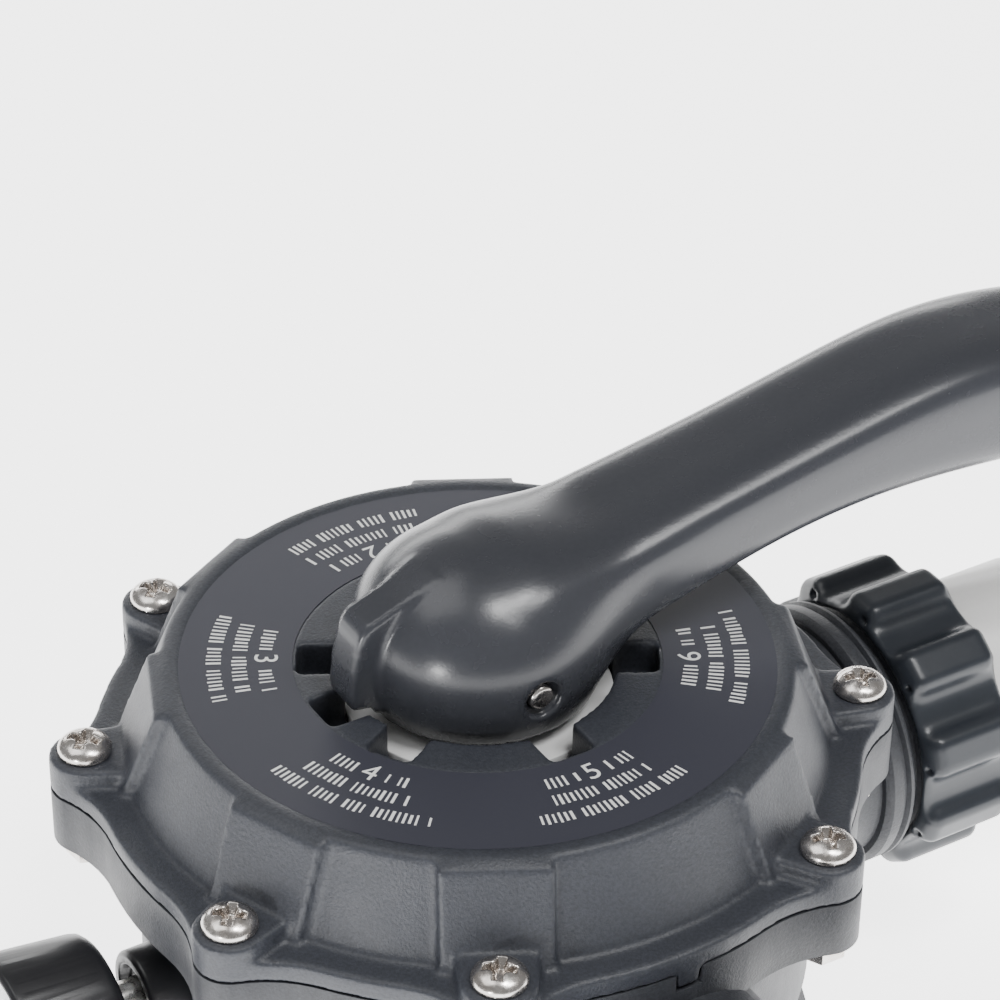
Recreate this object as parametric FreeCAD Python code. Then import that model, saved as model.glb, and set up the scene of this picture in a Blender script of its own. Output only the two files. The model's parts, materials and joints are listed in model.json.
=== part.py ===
"""Multiport valve: a six-way diverter valve with a lever handle on top.

Millimetres. The origin is the centre of the tank flange's lower face. +Z is up, along the rotor's
axis, and +X points along the lever and out of the inlet union.
"""
import FreeCAD, Part

import math
import os

os.makedirs("parts", exist_ok=True)
V = FreeCAD.Vector
Y_AXIS = V(0, 1, 0)
Z_AXIS = V(0, 0, 1)
TINY = 0.05                 # gap between pieces that only touch
INSIDE = 1.0                # how far a joined piece runs into its neighbour

# Levels along Z
LABEL_Z = 112.0             # top face of the dial label
SEAM_Z = 86.0               # face where cover and body meet
COVER_FLANGE_T = 5.0
BODY_FLANGE_Z = 72.5        # lower face of the body's flange
PORT_Z = 53.0               # axis of all side ports
DECK_Z = 78.0               # top of the body's deck of windows
FLOOR_Z = 24.0              # underside of the body's floor

# Cover
RIM_R = 69.0
RIM_PROUD = 0.4
CONE_FOOT_R = 78.0
FLANGE_R = 85.5
LABEL_IN_R = 40.6
LABEL_OUT_R = 65.5
LABEL_T = 0.5
WELL_R = 30.5               # recess that holds the handle washer
WELL_Z = 100.0
NOTCH_W = 10.3
NOTCH_R = 39.6
NOTCH_Z = 103.0
NOTCH_AZ = [30, 90, 150, 180, 210, 270, 330]
PANEL_W = 24.0
PAD_TOP_Z = 95.0
CHAMBER_R = 67.0

# Cover screws: M6, in eight lugs
SCREW_R = 86.6              # pitch radius
SCREW_AZ = [23, 62, 118, 157, 203, 242, 298, 337]
LUG_R = 8.0
LUG_FILLET = 30.0           # wide curve between a lug and the round flange
SHANK_R = 2.95
HOLE_R = 3.2
HEAD_R = 6.0
HEAD_H = 4.0
RECESS_L = 6.8
RECESS_W = 1.5
SCREW_END_Z = 65.5
NUT_ACROSS = 10.0
NUT_H = 5.0

# Body
BOWL_R = 76.5
BOWL_WALL = 4.0
TANK_FLANGE_R = 79.0
TANK_FLANGE_T = 8.0
NECK_R = 66.0
NECK_BORE_R = 60.0
PIPE_BORE_R = 24.3          # socket for a 48 mm standpipe
PIPE_SOCKET_R = 28.5
CUP_R = 20.6                # pit round the rotor's spring well
CUP_WALL = 2.4
CUP_FLOOR_Z = 48.0
WEB_T = 4.0
WINDOW_IN_R = 28.0
GASKET_IN_R = 26.1          # middle of the seal's inner ring
WINDOW_OUT_R = 60.0

# Side unions
PORT_BORE_R = 19.5
PORT_R = 27.5
PORT_ROOT_R = 25.0          # slim stretch between the body and the threaded end
PORT_END = 118.0            # distance of the port's face from the rotor's axis
ROOT_R = 30.6               # thick root of the collared port
COLLAR_R = 32.0
COLLAR_FROM = 93.0
COLLAR_TO = 101.0
THREAD_PITCH = 3.5
THREAD_CREST_R = 29.4
UNION_FROM = 103.0
UNION_TO = 128.5
UNION_RIDGE_R = 36.0
UNION_VALLEY_R = 31.5
UNION_RIDGES = 10
TAIL_R = 25.0
TAIL_NECK_R = 24.4          # under the nut's lip
TAIL_STEP = 129.5
TAIL_LIP_R = 27.9
TAIL_END = 160.0
UNIONS = {"inlet": 0, "outlet": 270}
WASTE_AZ = 90
CAP_R = 29.5
CAP_BORE_R = 25.6
CAP_FROM = 86.3
CAP_END = 98.5

# Rotor, spring and handle
STEM_R = 9.5
STEM_BORE_R = 9.55
STEM_TOP_Z = 132.0
ROTOR_R = 65.5
ROTOR_Z = 79.1
ROTOR_T = 5.0
SPRING_WELL_R = 18.0
SPRING_R = 15.4
WIRE_R = 1.9
SPRING_TURNS = 5.5
SPRING_TOP_Z = 96.0
SPRING_FOOT_Z = 54.5
PIN_R = 3.0
PIN_Z = LABEL_Z + 6.3
PIN_HALF = 27.0
HUB_R = 28.0
STEM_SEAL_Z = [91.5, 94.6]

# Pressure gauge, facing -X
GAUGE_AZ = 180
ADAPTER_R = 10.2
CASE_BACK = 94.0
CASE_FRONT = 118.0
CASE_BACK_R = 17.8
CASE_FRONT_R = 20.0
CASE_WALL = 1.6


def lathe(points):
    """Closed (radius, height) outline turned about Z."""
    outline = [V(r, 0, z) for r, z in points]
    outline.append(outline[0])
    return Part.Face(Part.makePolygon(outline)).revolve(V(0, 0, 0), Z_AXIS, 360)


def tube(r_in, r_out, z0, z1):
    ring = Part.makeCylinder(r_out, z1 - z0, V(0, 0, z0))
    if r_in > 0:
        ring = ring.cut(Part.makeCylinder(r_in, z1 - z0, V(0, 0, z0)))
    return ring


def sector(r_in, r_out, az0, az1, z0, z1):
    """Pie slice of a ring between two azimuths."""
    wedge = Part.makeCylinder(r_out, z1 - z0, V(0, 0, z0), Z_AXIS, az1 - az0)
    wedge.rotate(V(0, 0, 0), Z_AXIS, az0)
    return wedge.cut(Part.makeCylinder(r_in, z1 - z0, V(0, 0, z0)))


def radial_bar(r0, r1, width, z0, z1, az):
    bar = Part.makeBox(r1 - r0, width, z1 - z0, V(r0, -width / 2, z0))
    bar.rotate(V(0, 0, 0), Z_AXIS, az)
    return bar


def outward(shape, az, height=PORT_Z):
    """Lay a shape built along +Z on a horizontal axis that leaves the rotor's axis at azimuth az."""
    laid = shape.copy()
    laid.rotate(V(0, 0, 0), Y_AXIS, 90)
    laid.rotate(V(0, 0, 0), Z_AXIS, az)
    laid.translate(V(0, 0, height))
    return laid


def at_azimuth(shape, az):
    turned = shape.copy()
    turned.rotate(V(0, 0, 0), Z_AXIS, az)
    return turned


def join(shapes):
    return shapes[0].fuse(shapes[1:]).removeSplitter()


def torus(major, minor, height):
    return Part.makeTorus(major, minor, V(0, 0, height))


def save(name, shape):
    solids = shape.Solids
    assert solids and all(s.isValid() for s in solids), name
    keep = solids[0] if len(solids) == 1 else Part.makeCompound(solids)
    keep.exportStep("parts/" + name + ".step")
    box = keep.BoundBox
    print(name, len(solids), round(keep.Volume / 1000, 2), "cm3",
          [round(v, 1) for v in (box.XMin, box.XMax, box.YMin, box.YMax, box.ZMin, box.ZMax)])


def lug(z0, z1):
    """Tapered boss that reaches out from the cone to a rounded end about the screw."""
    root_r = 70.0
    half = 9.6
    side = V(SCREW_R + 0.6, LUG_R, z0)
    foot = V(root_r, half, z0)
    far = V(SCREW_R + LUG_R, 0, z0)
    end = Part.Arc(side, far, V(side.x, -side.y, z0)).toShape()
    edges = [
        Part.LineSegment(foot, side).toShape(),
        end,
        Part.LineSegment(V(side.x, -side.y, z0), V(foot.x, -foot.y, z0)).toShape(),
        Part.LineSegment(V(foot.x, -foot.y, z0), foot).toShape(),
    ]
    return Part.Face(Part.Wire(edges)).extrude(V(0, 0, z1 - z0))


def polar(radius, az, z=0.0):
    angle = math.radians(az)
    return V(radius * math.cos(angle), radius * math.sin(angle), z)


def arc(start, middle, end):
    return Part.Arc(start, middle, end).toShape()


def flange_plate(z0, z1):
    """Round flange that swells out to eight screw lugs in wide tangent arcs."""
    hollow_r = FLANGE_R + LUG_FILLET
    reach = LUG_R + LUG_FILLET
    turn = math.degrees(math.acos((SCREW_R ** 2 + hollow_r ** 2 - reach ** 2) / (2 * SCREW_R * hollow_r)))
    edges = []
    next_az = SCREW_AZ[1:] + [SCREW_AZ[0] + 360]
    for az, following in zip(SCREW_AZ, next_az):
        tip_centre = polar(SCREW_R, az, z0)
        touches = []
        for side in (-1, 1):
            centre = polar(hollow_r, az + side * turn, z0)
            on_lug = tip_centre + (centre - tip_centre) * (LUG_R / reach)
            on_flange = polar(FLANGE_R, az + side * turn, z0)
            halfway = (on_lug + on_flange) * 0.5 - centre
            middle = centre + halfway * (LUG_FILLET / halfway.Length)
            edges.append(arc(on_lug, middle, on_flange))
            touches.append(on_lug)
        edges.append(arc(touches[0], polar(SCREW_R + LUG_R, az, z0), touches[1]))
        start_az = az + turn
        end_az = following - turn
        edges.append(arc(polar(FLANGE_R, start_az, z0), polar(FLANGE_R, (start_az + end_az) / 2, z0),
                         polar(FLANGE_R, end_az, z0)))
    outline = Part.Wire(Part.__sortEdges__(edges))
    return Part.Face(outline).extrude(V(0, 0, z1 - z0))


def screw_holes(z0, z1, radius):
    return [at_azimuth(Part.makeCylinder(radius, z1 - z0, V(SCREW_R, 0, z0)), az) for az in SCREW_AZ]


def cover_panel():
    """Flat panel on the cone over one screw."""
    inner_r = LABEL_OUT_R + 0.8
    outline = [V(inner_r, 0, 91), V(79.6, 0, 91), V(71.6, 0, 111.2), V(70.0, 0, 111.9), V(inner_r, 0, 111.9)]
    outline.append(outline[0])
    panel = Part.Face(Part.makePolygon(outline)).extrude(V(0, PANEL_W, 0))
    panel.translate(V(0, -PANEL_W / 2, 0))
    return panel


def make_cover():
    top = LABEL_Z + RIM_PROUD
    flange_top = SEAM_Z + COVER_FLANGE_T
    shell = lathe([
        (0, SEAM_Z), (CONE_FOOT_R + 3, SEAM_Z), (CONE_FOOT_R + 3, flange_top), (CONE_FOOT_R, flange_top),
        (RIM_R + 0.8, top - 0.8), (RIM_R, top), (LABEL_OUT_R + 0.3, top),
        (LABEL_OUT_R + 0.3, LABEL_Z - LABEL_T), (LABEL_IN_R - 0.2, LABEL_Z - LABEL_T),
        (LABEL_IN_R - 0.2, LABEL_Z), (WELL_R, LABEL_Z), (WELL_R, WELL_Z), (0, WELL_Z)])
    pieces = [shell, flange_plate(SEAM_Z, flange_top)]
    for az in SCREW_AZ:
        pieces.append(at_azimuth(cover_panel(), az))
        pieces.append(at_azimuth(lug(SEAM_Z, PAD_TOP_Z), az))
    pieces.append(radial_bar(79, FLANGE_R, 6.0, SEAM_Z - 4, SEAM_Z + 2, 270))
    cover = join(pieces)
    chamber = lathe([
        (0, SEAM_Z - INSIDE), (CHAMBER_R, SEAM_Z - INSIDE), (CHAMBER_R, SEAM_Z + 6),
        (61.5, 107.5), (46, 107.5), (44, 99), (34, 99), (33, SPRING_TOP_Z), (0, SPRING_TOP_Z)])
    boss = tube(0, 12.8, SPRING_TOP_Z - 6, SPRING_TOP_Z + 2)
    cuts = [chamber.cut(boss), Part.makeCylinder(STEM_BORE_R, 40, V(0, 0, 70))]
    for az in NOTCH_AZ:
        cuts.append(radial_bar(WELL_R - 5, NOTCH_R, NOTCH_W, NOTCH_Z, LABEL_Z + 5, az))
    cuts += screw_holes(SEAM_Z - 1, PAD_TOP_Z + 1, HOLE_R)
    return cover.cut(cuts).removeSplitter()


def make_label():
    return tube(LABEL_IN_R, LABEL_OUT_R, LABEL_Z - LABEL_T, LABEL_Z)


def make_screws():
    brim_z = PAD_TOP_Z + 0.9
    profile = [(0, PAD_TOP_Z), (HEAD_R, PAD_TOP_Z)]
    steps = 8
    for k in range(steps + 1):
        angle = math.pi / 2 * k / steps
        profile.append((HEAD_R * math.cos(angle), brim_z + (HEAD_H - 0.9) * math.sin(angle)))
    head = lathe(profile)
    shank = Part.makeCylinder(SHANK_R, PAD_TOP_Z - SCREW_END_Z + INSIDE, V(0, 0, SCREW_END_Z))
    cross = Part.makeBox(RECESS_L, RECESS_W, HEAD_H, V(-RECESS_L / 2, -RECESS_W / 2, PAD_TOP_Z + 1.4))
    turned = cross.copy()
    turned.rotate(V(0, 0, 0), Z_AXIS, 90)
    screw = head.fuse(shank).removeSplitter().cut([cross, turned])
    screw.translate(V(SCREW_R, 0, 0))
    return Part.makeCompound([at_azimuth(screw, az) for az in SCREW_AZ])


def hexagon(across, height, z0):
    corner_r = across / 2 / math.cos(math.pi / 6)
    points = [V(corner_r * math.cos(k * math.pi / 3), corner_r * math.sin(k * math.pi / 3), z0)
              for k in range(7)]
    return Part.Face(Part.makePolygon(points)).extrude(V(0, 0, height))


def make_nuts():
    nut = hexagon(NUT_ACROSS, NUT_H, BODY_FLANGE_Z - NUT_H)
    nut = nut.cut(Part.makeCylinder(SHANK_R + TINY, 20, V(0, 0, BODY_FLANGE_Z - 12)))
    nut.translate(V(SCREW_R, 0, 0))
    return Part.makeCompound([at_azimuth(nut, az) for az in SCREW_AZ])


def thread_rings(crest_r, root_r, z0, count, width):
    """Thread as separate rings, one pitch apart, so that the nut can turn freely."""
    rings = []
    for k in range(count):
        z = z0 + k * THREAD_PITCH
        rings.append(lathe([(root_r - INSIDE, z), (root_r, z), (crest_r, z + width * 0.3),
                            (crest_r, z + width * 0.7), (root_r, z + width), (root_r - INSIDE, z + width)]))
    return rings


def make_port(collared):
    """Solid outside of a union port, along +Z from the rotor's axis."""
    slim = Part.makeCylinder(PORT_ROOT_R, PORT_END - 50, V(0, 0, 50))
    end = Part.makeCylinder(PORT_R, PORT_END - COLLAR_FROM - 4, V(0, 0, COLLAR_FROM + 4))
    pieces = [slim, end]
    if collared:
        pieces.append(lathe([
            (0, 50), (ROOT_R, 50), (ROOT_R, 83), (29, 90), (29, COLLAR_FROM + 1), (0, COLLAR_FROM + 1)]))
        pieces.append(lathe([
            (0, COLLAR_FROM), (30.5, COLLAR_FROM), (COLLAR_R, COLLAR_FROM + 1.5), (COLLAR_R, 97.2),
            (COLLAR_R - 1.2, 97.8), (COLLAR_R - 1.2, 98.6), (COLLAR_R, 99.2), (COLLAR_R, COLLAR_TO - 1),
            (COLLAR_R - 1, COLLAR_TO), (0, COLLAR_TO)]))
    return join(pieces + thread_rings(THREAD_CREST_R, PORT_R, 104.0, 4, 1.7))


def seat_groove(face, r_in, r_out, depth):
    return tube(r_in, r_out, face - depth, face + 1)


def make_body():
    flange = flange_plate(BODY_FLANGE_Z, SEAM_Z)
    bowl = lathe([
        (0, 0), (TANK_FLANGE_R, 0), (TANK_FLANGE_R, 5), (TANK_FLANGE_R - 7, TANK_FLANGE_T + 3),
        (NECK_R + 2, TANK_FLANGE_T + 3.5), (NECK_R, TANK_FLANGE_T + 5.5), (NECK_R, 19), (NECK_R + 1.5, 22),
        (BOWL_R - 6, 25), (BOWL_R - 2, 28.5), (BOWL_R, 34), (BOWL_R, BODY_FLANGE_Z + 1),
        (0, BODY_FLANGE_Z + 1)])
    pieces = [bowl, flange]
    pieces += [outward(make_port(name == "inlet"), az) for name, az in UNIONS.items()]
    waste = [Part.makeCylinder(24.0, 94 - 50, V(0, 0, 50))] + thread_rings(25.2, 24.0, 87.0, 2, 1.7)
    pieces.append(outward(join(waste), WASTE_AZ))
    pieces.append(outward(Part.makeCylinder(12.5, 77.5 - 60, V(0, 0, 60)), GAUGE_AZ))
    outside = join(pieces)

    inner_r = BOWL_R - BOWL_WALL
    cavity = tube(CUP_R + CUP_WALL, inner_r, FLOOR_Z + 4, DECK_Z - 8)
    web_az = [-17, 60, 120, 180, 240, 300]
    webs = [radial_bar(CUP_R, inner_r + 2, WEB_T, FLOOR_Z, DECK_Z, az) for az in web_az]
    webs.append(sector(CUP_R, inner_r + 2, -18, 3, DECK_Z - 12, DECK_Z))
    cavity = cavity.cut(webs)
    cuts = [cavity, Part.makeCylinder(CHAMBER_R, 20, V(0, 0, DECK_Z))]
    for k in range(6):
        window = sector(WINDOW_IN_R, WINDOW_OUT_R, 60 * k, 60 * k + 60, DECK_Z - 9, DECK_Z + 1)
        for side in (60 * k, 60 * k + 60):
            window = window.cut(radial_bar(0, 80, WEB_T, DECK_Z - 10, DECK_Z + 2, side))
        if k == 0:
            window = window.cut(sector(1, 80, -5, 3, DECK_Z - 12, DECK_Z + 2))
        cuts.append(window)
        cuts.append(radial_bar(GASKET_IN_R, 63, 2.4, DECK_Z - 1.5, DECK_Z + 1, 60 * k))
    cuts.append(tube(GASKET_IN_R - 1.2, GASKET_IN_R + 1.2, DECK_Z - 1.5, DECK_Z + 1))
    cuts.append(tube(WINDOW_OUT_R + 1.2, WINDOW_OUT_R + 3.6, DECK_Z - 1.5, DECK_Z + 1))
    cuts.append(Part.makeCylinder(CUP_R, 60, V(0, 0, CUP_FLOOR_Z)))
    cuts.append(Part.makeCylinder(CUP_R, CUP_FLOOR_Z - 4 - FLOOR_Z, V(0, 0, FLOOR_Z)))
    cuts.append(tube(PIPE_SOCKET_R, NECK_BORE_R, -1, FLOOR_Z - 4))
    cuts.append(Part.makeCylinder(PIPE_BORE_R, FLOOR_Z + 2, V(0, 0, -1)))
    cuts.append(radial_bar(10, 40, 24, FLOOR_Z + 4, 42, 150))
    cuts.append(sector(34, 56, 190, 230, FLOOR_Z - 6, FLOOR_Z + 6))
    cuts.append(tube(69.9, 73.1, SEAM_Z - 3, SEAM_Z + 1))
    cuts.append(tube(69.3, 72.1, -1, 2.9))
    cuts.append(tube(PIPE_BORE_R - 1, PIPE_BORE_R + 1.6, 9, 12))
    for az in UNIONS.values():
        cuts.append(outward(Part.makeCylinder(PORT_BORE_R, PORT_END - 55, V(0, 0, 60)), az))
        cuts.append(outward(seat_groove(PORT_END, 21.4, 24.8, 2.3), az))
    cuts.append(outward(Part.makeCylinder(17.0, 40, V(0, 0, 60)), WASTE_AZ))
    cuts.append(outward(Part.makeCylinder(3.0, 20, V(0, 0, 60)), GAUGE_AZ))
    cuts.append(outward(Part.makeCylinder(6.6, 10, V(0, 0, 71.0)), GAUGE_AZ))
    cuts += screw_holes(BODY_FLANGE_Z - 10, SEAM_Z + 1, HOLE_R)
    cuts.append(radial_bar(78.6, FLANGE_R + 5, 6.6, SEAM_Z - 4.4, SEAM_Z + 1, 270))
    nut_clearance = [at_azimuth(Part.makeCylinder(7.2, 12, V(SCREW_R, 0, BODY_FLANGE_Z - 12)), az)
                     for az in SCREW_AZ]
    return outside.cut(cuts + nut_clearance).removeSplitter()


def make_gasket():
    """Spoked seal that lies in the grooves of the deck."""
    low = DECK_Z - 1.5
    high = ROTOR_Z - TINY
    pieces = [tube(GASKET_IN_R - 1.1, GASKET_IN_R + 1.1, low, high),
              tube(WINDOW_OUT_R + 1.3, WINDOW_OUT_R + 3.5, low, high)]
    pieces += [radial_bar(GASKET_IN_R, WINDOW_OUT_R + 2.4, 2.2, low, high, 60 * k) for k in range(6)]
    return join(pieces)


def make_rotor():
    """Diverter disc with its spring well, covered passage and stem, in one piece."""
    top = ROTOR_Z + ROTOR_T
    well_floor = SPRING_FOOT_Z - 2 - 2.5
    turned = lathe([
        (0, well_floor), (SPRING_WELL_R + 2, well_floor), (SPRING_WELL_R + 2, ROTOR_Z), (ROTOR_R, ROTOR_Z),
        (ROTOR_R, top), (SPRING_WELL_R, top), (SPRING_WELL_R, well_floor + 2.5), (STEM_R, well_floor + 2.5),
        (STEM_R, STEM_TOP_Z - 2), (STEM_R - 2, STEM_TOP_Z), (0, STEM_TOP_Z)])
    passage = sector(34, 62, 64, 176, top - 1, top + 10)
    ribs = [radial_bar(SPRING_WELL_R + 0.5, 63, 3, top - 1, top + 4, az) for az in (0, 60, 180, 240, 300)]
    rotor = join([turned, passage] + ribs)
    cuts = [sector(37, 59, 68, 172, ROTOR_Z - 1, top + 7.5),
            sector(30, 59, 5, 55, ROTOR_Z - 1, top + 12),
            outward(Part.makeCylinder(PIN_R, 60, V(0, 0, -30)), 90, PIN_Z)]
    for z in STEM_SEAL_Z:
        cuts.append(tube(STEM_R - 2.2, STEM_R + 1, z - 1.2, z + 1.2))
    return rotor.cut(cuts).removeSplitter()


def make_stem_seals():
    return Part.makeCompound([torus(STEM_R - 1.08, 1.08, z) for z in STEM_SEAL_Z])


def make_spring():
    """Round-wire compression spring between the cover and its washer in the rotor's well."""
    rise = SPRING_TOP_Z - SPRING_FOOT_Z - 2 * WIRE_R - 2 * TINY
    helix = Part.makeHelix(rise / SPRING_TURNS, rise, SPRING_R)
    helix.translate(V(0, 0, SPRING_FOOT_Z + WIRE_R + TINY))
    start = helix.Edges[0]
    along = start.tangentAt(start.FirstParameter)
    section = Part.Wire(Part.Circle(start.valueAt(start.FirstParameter), along, WIRE_R).toShape())
    return Part.Wire(helix.Edges).makePipeShell([section], True, True)


def superellipse(x, half_w, z_low, z_high, power=3.6, steps=24):
    """Rounded cross-section of the lever in the plane at x."""
    middle = (z_low + z_high) / 2
    half_h = (z_high - z_low) / 2
    points = []
    for k in range(steps):
        angle = 2 * math.pi * k / steps
        c = math.cos(angle)
        s = math.sin(angle)
        y = half_w * math.copysign(abs(c) ** (2 / power), c)
        z = middle + half_h * math.copysign(abs(s) ** (2 / power), s)
        points.append(V(x, y, z))
    curve = Part.BSplineCurve()
    curve.interpolate(points, PeriodicFlag=True)
    return Part.Wire(curve.toShape())


# Lever stations: distance from the axis, half width, underside and top above the label
LEVER = [(4, 12, 9, 21), (15, 17, 5.0, 26.2), (28, 18.8, 3.6, 29.6), (44, 18.2, 7.6, 32.8),
         (66, 17.6, 13.2, 36.6), (94, 17.8, 16.3, 42.2), (121, 18.6, 15.4, 46.0), (150, 19, 12.6, 43.6),
         (176, 18, 11.0, 37.5), (192, 14.5, 12.0, 32.0), (199, 8, 16, 27.5)]

# Pointer fin: outline in the plane of the lever, x and height above the label
FIN = [(-6, 16), (-6, 24.0), (-12.6, 28.3), (-29.7, 21.8), (-34.5, 14), (-34.6, 7.4), (-33.4, 1.6),
       (-29.4, 0.4), (-28.6, -1.6), (-24.9, -2.6), (-15, -2.6)]
FIN_HALF_T = 5.0


def make_handle():
    """Domed hub with cam block, lever to +X and pointer fin to -X."""
    foot_z = LABEL_Z - 4.5
    foot_r = HUB_R - 2.6
    waist_z = LABEL_Z + 9
    crown_z = LABEL_Z + 32
    crown_h = crown_z - waist_z
    rounding = [V(foot_r, 0, foot_z), V(HUB_R - 0.7, 0, LABEL_Z + 2)]
    for k in range(9):
        angle = math.pi / 2 * k / 8
        rounding.append(V(HUB_R * math.cos(angle), 0, waist_z + crown_h * math.sin(angle)))
    rounding[-1].x = 0
    profile = Part.BSplineCurve()
    profile.interpolate(rounding)
    edges = [
        profile.toShape(),
        Part.LineSegment(V(0, 0, crown_z), V(0, 0, foot_z)).toShape(),
        Part.LineSegment(V(0, 0, foot_z), V(foot_r, 0, foot_z)).toShape(),
    ]
    outline = Part.Wire(edges)
    hub = Part.Face(outline).revolve(V(0, 0, 0), Z_AXIS, 360)

    stations = [superellipse(x, w, LABEL_Z + low, LABEL_Z + high) for x, w, low, high in LEVER]
    lever = Part.makeLoft(stations, True, False)

    points = [V(x, -FIN_HALF_T, LABEL_Z + z) for x, z in FIN]
    points.append(points[0])
    fin = Part.Face(Part.makePolygon(points)).extrude(V(0, 2 * FIN_HALF_T, 0))

    handle = join([hub, lever, fin])
    hollow = Part.makeCylinder(HUB_R - 5.5, 15, V(0, 0, LABEL_Z - 5))
    cam_foot_z = WELL_Z + 4.3
    cam = Part.makeBox(37, 28, PIN_Z + 14 - cam_foot_z, V(-18.5, -14, cam_foot_z))
    handle = handle.cut(hollow).fuse(cam.common(Part.makeCylinder(24, 40, V(0, 0, WELL_Z)))).removeSplitter()
    slot = Part.makeBox(27.4, 19.6, STEM_TOP_Z + 3 - WELL_Z, V(-13.7, -9.8, WELL_Z))
    cuts = [slot, outward(Part.makeCylinder(PIN_R + TINY, 80, V(0, 0, -40)), 90, PIN_Z)]
    for az in (90, 270):
        cuts.append(outward(Part.makeCylinder(4.4, 10, V(0, 0, PIN_HALF - 1.2)), az, PIN_Z))
    return handle.cut(cuts).removeSplitter()


def make_pin():
    pin = Part.makeCylinder(PIN_R, 2 * PIN_HALF, V(0, 0, -PIN_HALF))
    rims = [e for e in pin.Edges if abs(abs(e.CenterOfMass.z) - PIN_HALF) < 0.01 and len(e.Vertexes) == 1]
    return outward(pin.makeFillet(1.2, rims), 90, PIN_Z)


def union_outline(z0, height):
    """Ten rounded ridges with wide hollows between them."""
    edges = []
    step = 2 * math.pi / UNION_RIDGES
    points = []
    for k in range(UNION_RIDGES * 8):
        angle = 2 * math.pi * k / (UNION_RIDGES * 8)
        phase = math.cos(UNION_RIDGES * (angle - step / 2))
        shape = ((1 + phase) / 2) ** 1.7
        radius = UNION_VALLEY_R + (UNION_RIDGE_R - UNION_VALLEY_R) * shape
        points.append(V(radius * math.cos(angle), radius * math.sin(angle), z0))
    curve = Part.BSplineCurve()
    curve.interpolate(points, PeriodicFlag=True)
    edges.append(curve.toShape())
    return Part.Face(Part.Wire(edges)).extrude(V(0, 0, height))


def make_union_nut():
    """Ridged ring, along +Z, with its thread rings and the lip that pulls the tail in."""
    blank = union_outline(UNION_FROM, UNION_TO - UNION_FROM)
    bevel = lathe([
        (0, UNION_FROM), (UNION_RIDGE_R - 2.4, UNION_FROM), (UNION_RIDGE_R + 0.4, UNION_FROM + 3),
        (UNION_RIDGE_R + 0.4, UNION_TO - 3), (UNION_RIDGE_R - 2.4, UNION_TO), (0, UNION_TO)])
    bore = lathe([
        (0, UNION_FROM - 1), (29.9, UNION_FROM - 1), (29.9, 124.2), (TAIL_R + 0.4, 124.2),
        (TAIL_R + 0.4, UNION_TO + 1), (0, UNION_TO + 1)])
    grip = blank.common(bevel).cut(bore)
    rings = []
    for k in range(3):
        z = 104.0 + THREAD_PITCH * (k + 0.5) + 0.25
        rings.append(tube(28.3, 30.2, z, z + 1.2))
    return join([grip] + rings)


def make_tail():
    outline = [
        (PORT_BORE_R, PORT_END + 0.5), (TAIL_LIP_R, PORT_END + 0.5), (TAIL_LIP_R, 123.9),
        (TAIL_NECK_R, 123.9), (TAIL_NECK_R, TAIL_STEP), (TAIL_R, TAIL_STEP), (TAIL_R, TAIL_END - 1),
        (TAIL_R - 1, TAIL_END), (PORT_BORE_R + 0.5, TAIL_END), (PORT_BORE_R, TAIL_END - 1)]
    return lathe(outline)


def make_cap():
    cup = lathe([
        (0, 94.8), (CAP_BORE_R, 94.8), (CAP_BORE_R, CAP_FROM), (CAP_R - 1, CAP_FROM), (CAP_R, CAP_FROM + 1),
        (CAP_R, CAP_END - 2), (CAP_R - 2, CAP_END), (0, CAP_END)])
    ribs = []
    for k in range(24):
        rib = Part.makeCylinder(0.9, CAP_END - 4 - CAP_FROM, V(CAP_R, 0, CAP_FROM + 1))
        ribs.append(at_azimuth(rib, 15 * k))
    return join([cup] + ribs)


def make_gauge_adapter():
    """Reducing bush, along +Z, with a recess in its outer face."""
    return lathe([
        (4.3, 71.5), (6.5, 71.5), (6.5, 77.6), (ADAPTER_R, 77.6), (ADAPTER_R, 86.0), (ADAPTER_R - 0.8, 86.8),
        (7.4, 86.8), (6.4, 84.6), (4.3, 84.6)])


def make_gauge_stem():
    return tube(1.5, 4.25, 72, CASE_BACK + 5)


def make_gauge_case():
    outside = lathe([
        (0, CASE_BACK), (CASE_BACK_R - 2.8, CASE_BACK), (CASE_BACK_R - 1.4, CASE_BACK + 0.4),
        (CASE_BACK_R - 0.4, CASE_BACK + 1.4), (CASE_BACK_R, CASE_BACK + 2.8), (CASE_FRONT_R, CASE_FRONT - 1),
        (CASE_FRONT_R - 1, CASE_FRONT),
        (0, CASE_FRONT)])
    inside = lathe([
        (0, CASE_BACK + 2), (CASE_BACK_R - 2.6, CASE_BACK + 2), (CASE_FRONT_R - CASE_WALL, CASE_FRONT - 4.6),
        (CASE_FRONT_R - CASE_WALL, CASE_FRONT + 1), (0, CASE_FRONT + 1)])
    return outside.cut([inside, Part.makeCylinder(4.3, 10, V(0, 0, CASE_BACK - 5))])


def make_gauge_tube():
    """Curved pressure tube behind the dial."""
    bend = Part.makeTorus(11.0, 1.6, V(0, 0, CASE_BACK + 9), Z_AXIS, -180, 180, 250)
    feed = Part.makeCylinder(1.6, 8, V(11.0, 0, CASE_BACK + 3.4))
    foot = Part.makeBox(14, 5, 2.6, V(-1, -2.5, CASE_BACK + 2.3))
    hole = Part.makeCylinder(4.3, 10, V(0, 0, CASE_BACK))
    return join([bend, feed, foot.cut(hole)])


def make_gauge_dial():
    return tube(0.9, CASE_FRONT_R - CASE_WALL - 0.2, CASE_FRONT - 4.5, CASE_FRONT - 3.8)


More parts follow.
